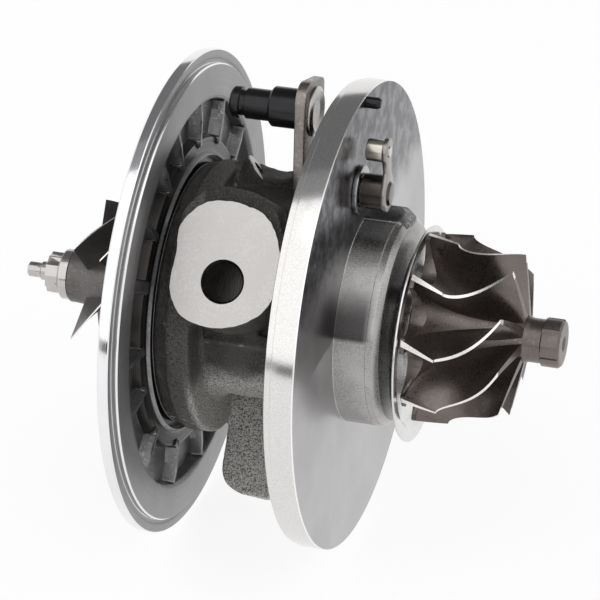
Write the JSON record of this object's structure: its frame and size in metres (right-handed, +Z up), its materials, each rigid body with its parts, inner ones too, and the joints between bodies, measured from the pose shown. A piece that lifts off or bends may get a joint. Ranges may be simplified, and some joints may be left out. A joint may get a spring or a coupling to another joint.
{
  "type": "turbocharger cartridge",
  "caption": "Turbocharger core: a cast bearing housing between a turbine flange and a ribbed compressor backplate, with both wheels on one shaft and a vane lever on its pivot.",
  "frame": {"origin": "centre of the bounding box, at the lowest point of the compressor backplate's rim", "axes": "+X along the shaft towards the turbine wheel, +Z up, so the shaft is level"},
  "size_m": [0.1428, 0.126, 0.1281],
  "materials": {
    "cast_iron_housing": "rough cast with machined faces",
    "heat_shield_steel": "pressed sheet",
    "turbine_alloy": "investment cast nickel alloy",
    "shaft_steel": "ground",
    "wheel_aluminium": "milled",
    "ring_steel": "machined",
    "bearing_bronze": "machined",
    "plate_aluminium": "cast with polished rim",
    "seal_rubber": "smooth",
    "lever_steel": "heat-tinted",
    "blackened_steel": "black oxide"
  },
  "bodies": {
    "housing": {"bearing_housing": "cast_iron_housing", "heat_shield": "heat_shield_steel", "turbine_seal_ring": "ring_steel", "compressor_seal_ring": "ring_steel", "circlip_turbine": "ring_steel", "circlip_compressor": "ring_steel", "bearing_spacer": "ring_steel", "thrust_bearing": "bearing_bronze", "oil_deflector": "ring_steel", "compressor_backplate": "plate_aluminium", "backplate_bolt_1": "ring_steel", "backplate_bolt_2": "ring_steel", "backplate_bolt_3": "ring_steel", "backplate_bolt_4": "ring_steel", "backplate_o_ring": "seal_rubber", "lever_bush": "ring_steel", "locating_dowel": "ring_steel"},
    "rotor": {"turbine_wheel": "turbine_alloy", "rotor_shaft": "shaft_steel", "thrust_collar": "shaft_steel", "seal_sleeve": "shaft_steel", "compressor_wheel": "wheel_aluminium", "shaft_nut": "shaft_steel"},
    "bearing_turbine": {"journal_bearing_turbine": "bearing_bronze"},
    "bearing_compressor": {"journal_bearing_compressor": "bearing_bronze"},
    "lever": {"lever_shaft": "lever_steel", "actuator_lever": "lever_steel", "actuator_pin": "blackened_steel", "crank_arm": "lever_steel", "crank_pin": "ring_steel"}
  },
  "joints": [
    {"name": "rotor_spin", "type": "hinge", "parent": "housing", "child": "rotor", "pos_m": [0, 0, 0.06277], "axis": [1, 0, 0], "continuous": true},
    {"name": "bearing_turbine_spin", "type": "hinge", "parent": "housing", "child": "bearing_turbine", "pos_m": [0.01419, 0, 0.06277], "axis": [1, 0, 0], "continuous": true},
    {"name": "bearing_compressor_spin", "type": "hinge", "parent": "housing", "child": "bearing_compressor", "pos_m": [-0.00631, 0, 0.06277], "axis": [1, 0, 0], "continuous": true},
    {"name": "lever_swing", "type": "hinge", "parent": "housing", "child": "lever", "pos_m": [0.01919, -0.0052, 0.10047], "axis": [1, 0, 0], "range_deg": [-25, 25]}
  ]
}
